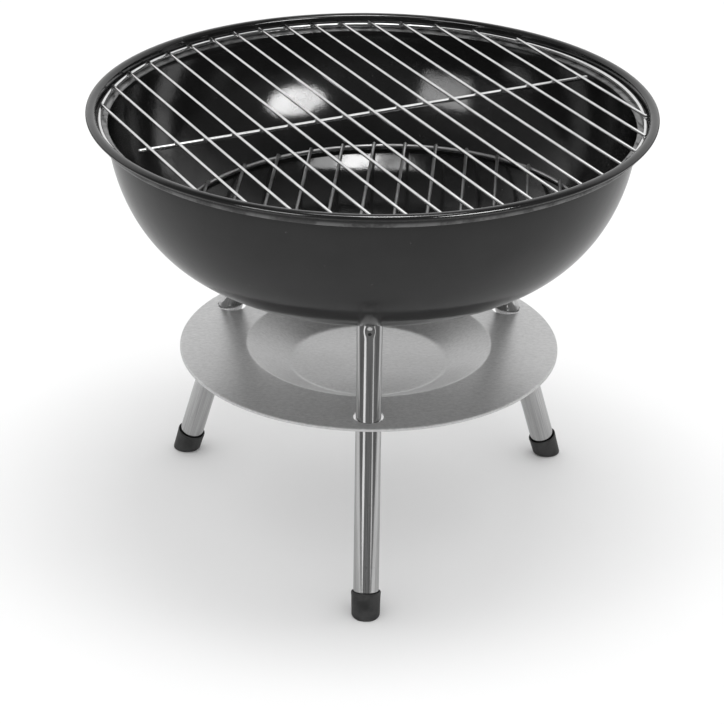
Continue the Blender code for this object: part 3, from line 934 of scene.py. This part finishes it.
def make_cooking_grate():
    """Chromed grate that lies on the bowl's ledge, with one cross wire under its bars."""
    axes = Matrix.Translation((0.0, 0.0, COOK_RING_Z))
    spec = {
        "axes": axes, "node_stem": "cooking_grate", "ring_r": COOK_RING_R,
        "ring_wire_r": COOK_RING_WIRE_R, "wire_r": COOK_WIRE_R, "wires": COOK_WIRES,
        "pitch": COOK_PITCH, "offset": COOK_OFFSET, "turn": COOK_TURN,
        "overhang": COOK_WIRE_OVERHANG, "cross_offset": COOK_CROSS_OFFSET, "fan": COOK_FAN,
    }
    pieces = make_grate("cooking_grate", "cooking_grate",
                        (bright_wire, bright_weld), spec)
    across = Vector((math.cos(COOK_TURN), math.sin(COOK_TURN), 0.0))
    along = Vector((-math.sin(COOK_TURN), math.cos(COOK_TURN), 0.0))
    middle = along * COOK_CROSS_OFFSET
    middle.z = COOK_RING_WIRE_R - COOK_CROSS_R
    profile, own_axes = round_bar(
        middle - across * COOK_CROSS_HALF, middle + across * COOK_CROSS_HALF, COOK_CROSS_R)
    cross = turned(profile, axes @ own_axes, 20)
    pieces.append(make_piece("cooking_grate_cross_bar", [cross], [bright_wire],
                             "cooking_grate",
                             ["cooking_grate_cross_wire"]))
    return pieces


def make_charcoal_grate():
    """Duller grate low in the bowl, leaning a little on its wall."""
    axes = Matrix.Translation(COAL_PLACE) @ Matrix.Rotation(-COAL_LEAN, 4, "Y")
    spec = {
        "axes": axes, "node_stem": "charcoal_grate", "ring_r": COAL_RING_R,
        "ring_wire_r": COAL_RING_WIRE_R, "wire_r": COAL_WIRE_R, "wires": COAL_WIRES,
        "pitch": COAL_PITCH, "offset": COAL_OFFSET, "turn": COAL_TURN,
        "overhang": COAL_WIRE_OVERHANG,
    }
    make_grate("charcoal_grate", "charcoal_grate",
               (dull_wire, dull_weld), spec)


def finish_fasteners():
    """Give the bolts, washers and inserts their zinc plating."""
    for name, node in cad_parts.items():
        if name.startswith(("leg_bolt", "bolt_washer", "leg_insert")):
            for slot in node.material_slots:
                slot.material = zinc_plate


# ---------------------------------------------------------------- studio

def make_floor():
    """A wide pale table top, seen darker in gloss the further it is from the grill: painted shade
    of a dim room, seen in reflections only.
    """
    material, tree, shader = new_material("table_top")
    place = object_place(tree)
    wear = use_group(tree, smudges_and_dust, {"Place": place, "Smudge Fineness": 3.0})
    pale = mixed(tree, wear["Smudges"], 0.855, 0.865)
    away = add(tree, "ShaderNodeVectorMath", {0: place}, operation="LENGTH").outputs["Value"]
    # painted shade: glossy rays see the table dimmer than it is near the grill and darker still
    # further out
    painted_gloss_shade = mixed(tree, ramp(tree, away, 0.55, 1.10), 0.58, 0.12)
    in_gloss = add(tree, "ShaderNodeLightPath").outputs["Is Glossy Ray"]
    tree.links.new(mixed(tree, in_gloss, pale, painted_gloss_shade), shader.inputs["Base Color"])
    shader.inputs["Roughness"].default_value = 0.7
    shader.inputs["Specular IOR Level"].default_value = 0.15
    reach = FLOOR_HALF
    mesh = bpy.data.meshes.new("table_top")
    corners = [
        (-reach, -reach, 0.0), (reach, -reach, 0.0), (reach, reach, 0.0), (-reach, reach, 0.0),
    ]
    mesh.from_pydata(corners, [], [(0, 1, 2, 3)])
    mesh.materials.append(material)
    floor = bpy.data.objects.new("table_top", mesh)
    bpy.context.scene.collection.objects.link(floor)


def soft_box(name, azimuth, elevation, width, height, radiance, only_on=None, distance=1.6,
             outline="RECTANGLE"):
    """A flat light aimed at the grill.

    Azimuth is from the front towards +X, width and height are the angles that it spans,
    all in degrees. With only_on, it is seen in the gloss of those pieces and nowhere else.
    """
    angle = math.radians(azimuth)
    rise = math.radians(elevation)
    towards = Vector((
        math.sin(angle) * math.cos(rise), -math.cos(angle) * math.cos(rise), math.sin(rise),
    ))
    light = bpy.data.lights.new(name, "AREA")
    light.shape = outline
    light.size = 2.0 * distance * math.tan(math.radians(width) / 2.0)
    light.size_y = 2.0 * distance * math.tan(math.radians(height) / 2.0)
    light.energy = radiance * math.pi * light.size * light.size_y
    lamp = bpy.data.objects.new(name, light)
    bpy.context.scene.collection.objects.link(lamp)
    lamp.location = AIM + towards * distance
    side = Vector((math.cos(angle), math.sin(angle), 0.0))
    if rise > math.radians(80.0):
        side = Vector((1.0, 0.0, 0.0))
    rise_axis = towards.cross(side).normalized()
    lamp_axes = Matrix((rise_axis.cross(towards), rise_axis, towards)).transposed()
    lamp.rotation_euler = lamp_axes.to_euler()
    if only_on:
        lamp.visible_diffuse = False
        lamp.light_linking.receiver_collection = group_of(name + "_receivers", only_on)


def group_of(name, pieces):
    """A collection of pieces that a light is meant for."""
    collection = bpy.data.collections.new(name)
    for piece in pieces:
        collection.objects.link(piece)
    return collection


def make_room():
    """Pale room: bright behind the grill, dim in front of it and overhead.

    Diffuse rays get one even level instead, as from a light tent.
    """
    world = bpy.data.worlds.new("pale_room")
    bpy.context.scene.world = world
    world.use_nodes = True
    tree = world.node_tree
    way = add(tree, "ShaderNodeTexCoord").outputs["Generated"]
    parts = add(tree, "ShaderNodeSeparateXYZ", {0: way}).outputs
    back = ramp(tree, parts["Y"], 0.0, 0.55)
    wall = ramp(tree, back, 0.0, 1.0, 0.17, 1.02, False)
    high = ramp(tree, parts["Z"], 0.58, 0.85, 1.0, 0.20)
    level = math_node(tree, "MULTIPLY", wall, high)
    seen = add(tree, "ShaderNodeLightPath").outputs["Is Diffuse Ray"]
    strength = ramp(tree, seen, 0.0, 1.0, level, 1.12, False)
    background = tree.nodes["Background"]
    tree.links.new(strength, background.inputs["Strength"])
    background.inputs["Color"].default_value = grey(1.0)


def make_camera():
    """Long-lens camera in front of the grill and above it, looking down at it."""
    right = Vector((1.0, 0.0, 0.0))
    up = Vector((0.0, math.sin(CAMERA_DOWN), math.cos(CAMERA_DOWN)))
    ahead = Vector((0.0, math.cos(CAMERA_DOWN), -math.sin(CAMERA_DOWN)))
    x_axis = right * math.cos(CAMERA_ROLL) + up * math.sin(CAMERA_ROLL)
    y_axis = up * math.cos(CAMERA_ROLL) - right * math.sin(CAMERA_ROLL)
    camera = bpy.data.cameras.new("camera")
    camera.sensor_width = 36.0
    camera.lens = 128.5
    camera.shift_x = 0.0078
    camera.shift_y = 0.0002
    holder = bpy.data.objects.new("camera", camera)
    bpy.context.scene.collection.objects.link(holder)
    rotation = Matrix((x_axis, y_axis, -ahead)).transposed().to_4x4()
    holder.matrix_world = Matrix.Translation(CAMERA_PLACE) @ rotation
    bpy.context.scene.camera = holder


make_camera()
bowl = make_fire_bowl()
make_ash_tray()
tubes = []
for leg_name, leg_azimuth in LEG_AZIMUTHS.items():
    tubes.append(make_leg_tube(leg_name, leg_axes(leg_azimuth)))
    make_foot_cap(leg_name, leg_axes(leg_azimuth))
grate = make_cooking_grate()
make_charcoal_grate()
finish_fasteners()
make_floor()
make_room()

# Name, azimuth, elevation, width and height in degrees, radiance.
soft_box("front_right_box", 39.8, 27.1, 27.0, 19.0, 20.0, only_on=[bowl], outline="ELLIPSE")
soft_box("front_left_box", -37.0, 19.0, 23.0, 23.0, 9.0, only_on=[bowl])
soft_box("left_strip", -35.0, 4.0, 17.0, 22.0, 1.0, only_on=tubes)
soft_box("right_strip", 36.0, 3.0, 10.0, 20.0, 0.6, only_on=tubes)
soft_box("overhead_box", 51.7, 85.7, 30.0, 16.0, 7.0)
soft_box("overhead_glint", 51.7, 85.7, 11.0, 14.0, 18.0, only_on=[bowl], distance=1.5)
soft_box("grate_box", 175.0, 62.0, 60.0, 22.0, 1.5, only_on=grate, distance=1.7)
soft_box("cross_bar_box", 69.0, 53.0, 24.0, 24.0, 1.8, only_on=grate[-1:], distance=1.8)

bpy.context.scene.view_settings.view_transform = "Standard"
